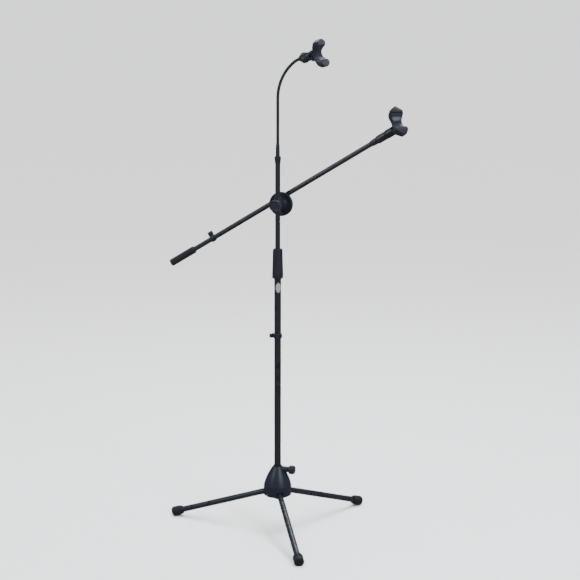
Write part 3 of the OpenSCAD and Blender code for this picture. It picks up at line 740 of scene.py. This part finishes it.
def hose_route():
    """Points along the gooseneck's centre line, and the index of each joint among them.

    The line runs through every joint of the hose, and between two of them it is a curve
    that leaves and arrives along the hose's own way there.
    """
    places = [Vector(JOINTS[f"hose_bend_{n}"]["pos_m"]) for n in range(1, 6)]
    base = Vector((0, 0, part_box("gooseneck_1")[0][2]))
    end_joint = JOINTS["top_socket_turn"]
    end_way = Vector(end_joint["axis"])
    end = Vector(end_joint["pos_m"]) - end_way * 10 * MM
    knots = [base, *places, end]
    ways = [UP, UP, UP]
    for before, here in zip(knots[2:-1], knots[3:-1]):
        chord = (here - before).normalized()
        ways.append(2 * chord.dot(ways[-1]) * chord - ways[-1])
    ways.append(end_way)
    points, marks = [], []
    for i in range(len(knots) - 1):
        a, b = knots[i], knots[i + 1]
        reach = (b - a).length
        reach *= 1 + (ways[i].angle(ways[i + 1]) ** 2) / 24
        marks.append(len(points))
        for k in range(HOSE_STEPS):
            t = k / HOSE_STEPS
            points.append(
                a * (2 * t ** 3 - 3 * t ** 2 + 1) + ways[i] * reach * (t ** 3 - 2 * t ** 2 + t)
                + b * (3 * t ** 2 - 2 * t ** 3) + ways[i + 1] * reach * (t ** 3 - t ** 2))
    marks.append(len(points))
    points.append(end)
    return points, marks


def make_gooseneck():
    """Five lengths of wound hose. Each crosses one joint of the CAD's hose."""
    points, marks = hose_route()
    lengths = [0.0]
    for before, after in zip(points, points[1:]):
        lengths.append(lengths[-1] + (after - before).length)
    pitch = 2.6 * MM
    radius, depth = 5.0 * MM, 0.55 * MM
    sides = 28
    side = Vector((0, 1, 0))
    middles = [(a + b) // 2 for a, b in zip(marks, marks[1:])]
    cuts = [0, *middles[1:5], len(points) - 1]
    for n in range(1, 6):
        work = bmesh.new()
        rings = []
        for i in range(cuts[n - 1], cuts[n] + 1):
            way = (points[min(i + 1, len(points) - 1)] - points[max(i - 1, 0)]).normalized()
            other = side.cross(way)
            ring = []
            for k in range(sides):
                angle = 2 * math.pi * k / sides
                turn = (lengths[i] / pitch + k / sides) % 1.0
                r = radius - depth * (abs(2 * turn - 1) ** 3)
                ring.append(work.verts.new(
                    points[i] + (side * math.cos(angle) + other * math.sin(angle)) * r))
            rings.append(ring)
        join_rings(work, rings)
        work.faces.new(rings[0][::-1])
        work.faces.new(rings[-1])
        hose = finish_mesh(f"gooseneck_length_{n}", work, 60.0)
        hose.data.materials.append(FINISHES["hose_skin"])
        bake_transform(hose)
        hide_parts(f"gooseneck_{n}", *(["gooseneck_6"] if n == 5 else []))


def make_gooseneck_collar():
    """The knurled collar at the gooseneck's end, with its thread stud."""
    joint = JOINTS["top_socket_turn"]
    way = Vector(joint["axis"])
    start = Vector(joint["pos_m"]) - way * 16 * MM
    collar = spin("gooseneck_collar_skin", rounded(mm(
        (0.0, 6.0), (5.0, 6.0), (5.0, 0.0), (7.0, 0.0), (7.6, 1.6), (15.6, 11.4),
        (16.6, 12.2), (17.2, 13.5), (17.2, 22.6), (16.0, 25.7), (8.0, 25.7), (7.9, 34.0),
        (0.0, 34.0)), 0.5 * MM),
        along(start, way), 192, knurl(48, 0.5 * MM, 13.4 * MM, 22.7 * MM))
    stands_for(collar, "gooseneck_collar")


# ----------------------------------------------------------------------- boom clamp

def make_clamp():
    """Cross barrel with a flange next to the discs, and a sleeve round the mast."""
    low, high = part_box("clamp_body")
    height = JOINTS["clamp_swivel"]["pos_m"][2]
    centre = Vector((0, 0, height))
    barrel_r, flange_r = 17.5 * MM, 20.5 * MM
    barrel = spin("clamp_barrel", rounded([
        (0.0, low.y), (barrel_r - 1.2 * MM, low.y), (barrel_r, low.y + 1.2 * MM),
        (barrel_r, high.y - 4.4 * MM), (flange_r - 0.8 * MM, high.y - 3.8 * MM),
        (flange_r, high.y - 3.0 * MM), (flange_r, high.y), (0.0, high.y)], 0.7 * MM),
        along(centre, (0, 1, 0)), 96)
    sleeve = spin("clamp_sleeve", ring_profile(8.8 * MM, mm(
        (9.8, -24.0), (11.0, -22.8), (11.0, 22.8), (9.8, 24.0))),
        Matrix.Translation(centre), 72, closed=True)
    bore = mm((0.0, -30.0), (8.8, -30.0), (8.8, 30.0), (0.0, 30.0))
    cut(barrel, spin("bore", bore, Matrix.Translation(centre), 48))
    stands_for(barrel, "clamp_body")
    extra(sleeve, "clamp_body")


def make_clamp_knob():
    """Round hand knob with a dished face, a rounded rim and a finely knurled side."""
    low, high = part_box("clamp_knob")
    radius = (high[0] - low[0]) / 2
    depth = high[1] - low[1]
    height = JOINTS["clamp_knob_turn"]["pos_m"][2]
    rim = 2.5 * MM
    face = [(0.0, 2.6 * MM), (3.6 * MM, 2.6 * MM), (4.0 * MM, 1.8 * MM), (7.0 * MM, 1.6 * MM),
            (7.6 * MM, 2.2 * MM), (radius - 2.2 * rim, 2.0 * MM)]
    profile = [*rounded(face, 0.5 * MM),
               *arc((radius - rim, rim), rim, math.pi + 0.3, 2 * math.pi, 14),
               (radius, depth - 1.4 * MM), (radius - 1.4 * MM, depth), (0.0, depth)]
    knob = spin("clamp_knob_skin", profile, along((0, low[1], height), (0, 1, 0)), 180,
                knurl(60, 0.35 * MM, 2.7 * MM, depth - 1.6 * MM))
    stands_for(knob, "clamp_knob")


def make_disc(node, outward):
    """Half of the pair of discs that grip the boom, with two rings on its outer face.

    outward is -1 or 1, the way along Y that its outer face looks.
    """
    low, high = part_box(node)
    depth = high[1] - low[1]
    height = JOINTS["boom_tilt"]["pos_m"][2]
    radius = high.x
    start = low[1] if outward < 0 else high[1]
    profile = mm((4.1, 0.9), (18.0, 0.9), (18.6, 0.3), (20.6, 0.3), (21.2, 1.2))
    profile += [(radius - 7.4 * MM, 1.2 * MM), (radius - 6.6 * MM, 0.2 * MM),
                (radius - 5.4 * MM, 0.0), (radius - 1.6 * MM, 0.2 * MM),
                (radius - 0.4 * MM, 1.0 * MM), (radius, 2.2 * MM),
                (radius, depth - 0.6 * MM), (radius - 0.6 * MM, depth), (4.1 * MM, depth)]
    disc = spin(f"{node}_skin", rounded(profile, 0.4 * MM),
                along((0, start, height), (0, -outward, 0)), 160,
                knurl(80, 0.4 * MM, 3.0 * MM, depth - 1.0 * MM), closed=True)
    boom_low, boom_high, way = boom_axis()
    channel = mm((0.0, -300.0), (8.06, -300.0), (8.06, 300.0), (0.0, 300.0))
    cut(disc, spin("channel", channel, along((boom_low + boom_high) / 2, way), 48))
    stands_for(disc, node)


# ----------------------------------------------------------------------------- boom

def boom_axis():
    """The boom tube's low and high ends, and the way from one to the other."""
    low, high = sorted(mesh_line("boom_tube"), key=lambda end: end.x)
    return low, high, (high - low).normalized()


def make_boom_ends():
    """The rubber grip at the low end, and the ferrule and threaded collar at the high end."""
    low, high, way = boom_axis()
    radius, length, bore, floor = 12.0, 95.0, 8.05, 4.0
    profile = [(0.0, 0.0), (radius - 0.8, 0.0), (radius, 0.8)]
    for i in range(10):
        profile += groove(14.0 + 7.0 * i, radius, radius - 0.6, 0.6, 2.0)
    profile += [(radius, length - 1.6), (radius - 0.6, length - 1.0), (radius - 2.4, length),
                (bore, length), (bore, floor), (0.0, floor)]
    grip = spin("boom_grip_skin", rounded(mm(*profile), 0.4 * MM),
                along(low - way * floor * MM, way), 72)
    stands_for(grip, "boom_grip")
    ferrule = spin("boom_ferrule_skin", rounded(mm(
        (8.05, 0.0), (9.2, 0.0), (10.4, 11.0), (10.6, 12.4), (10.6, 21.0), (9.8, 22.0),
        (0.0, 22.0)), 0.5 * MM),
        along(high - way * 8 * MM, way), 72)
    stands_for(ferrule, "boom_ferrule")
    collar = spin("boom_collar_skin", rounded(mm(
        (0.0, 0.0), (10.8, 0.0), (11.6, 0.8), (13.0, 2.6), (13.0, 5.0), (12.4, 5.6),
        (12.4, 6.8), (13.0, 7.4), (13.0, 31.0), (12.2, 35.7), (7.95, 35.7), (7.9, 44.0),
        (0.0, 44.0)), 0.4 * MM),
        along(high + way * 14 * MM, way), 160, knurl(44, 0.4 * MM, 8.0 * MM, 30.5 * MM))
    stands_for(collar, "boom_collar")


# ------------------------------------------------------------------ microphone clips

HINGE_TO_MIDDLE = 22 * MM


def clip_frame(side):
    """A clip's middle, and its forward, wide and across ways."""
    hinge = JOINTS[f"{side}_clip_tilt"]
    pivot, across = Vector(hinge["pos_m"]), Vector(hinge["axis"])
    low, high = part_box(f"{side}_clip_pads")
    forward = ((low + high) / 2 - pivot).normalized()
    return pivot + forward * HINGE_TO_MIDDLE, forward, across.cross(forward), across


def horn_trims(side, inset):
    """Planes that cut each horn's tip to a point, in from its corners by inset."""
    middle, _, wide, across = clip_frame(side)
    reach, half = 57 * MM, 21 * MM
    corner, tip = 0.7 * reach, 2.5 * MM
    planes = []
    for up in (1, -1):
        for out in (1, -1):
            normal = (wide * out * (reach - corner) + across * up * (half - tip)).normalized()
            start = middle + wide * out * half + across * up * corner
            planes.append((start - normal * inset, normal))
    return planes


def groove_seat(body, side, seat_radius):
    """Two grooves that run round the seat's hollow, side by side."""
    middle, forward, wide, _ = clip_frame(side)
    centre = middle + forward * (5 * MM + seat_radius)
    inner, outer, half = seat_radius - 3 * MM, seat_radius + 1.6 * MM, 1.6 * MM
    for offset in (-7.5 * MM, 7.5 * MM):
        ring = [(inner, -half), (outer - half / 2, -half), (outer, -half / 2),
                (outer, half / 2), (outer - half / 2, half), (inner, half)]
        place = along(centre + wide * offset, wide)
        cut(body, spin("groove", ring, place, 96, closed=True))


def make_clip(side, trimmed):
    """The softened body, pads and socket of one clip: grooved, or trimmed to points."""
    for part, width, inset in (("body", 0.5, 0.0), ("pads", 0.4, 0.5), ("socket", 0.9, 0.0)):
        trims = horn_trims(side, inset * MM) if trimmed and part != "socket" else ()
        node = f"{side}_clip_{part}"
        piece = softened(node, width * MM, trims=trims)
        if part == "body" and not trimmed:
            groove_seat(piece, side, 23.2 * MM)
        stands_for(piece, node)


# ---------------------------------------------------------------------------- build

FINISHES = make_finishes()
make_camera()
make_studio()
make_floor()

make_hub()
make_slot_lips()
make_hub_screws()
for leg in LEGS:
    make_foot(leg)
make_base_knob()
make_column_plug()
make_label()
make_clutch_collar()
make_clutch_grip()
make_top_nut()
make_gooseneck()
make_gooseneck_collar()
make_clamp()
make_clamp_knob()
make_disc("boom_disc_front", -1)
make_disc("boom_disc_rear", 1)
make_boom_ends()
make_clip("top", False)
make_clip("boom", True)
stands_for(softened("column_cable_clip", 0.8 * MM), "column_cable_clip")
stands_for(softened("boom_cable_clip", 0.8 * MM), "boom_cable_clip")

for node, shape in frame["nodes"].items():
    shape.data.materials.clear()
    shape.data.materials.append(FINISHES[SLOT_OF[node]])
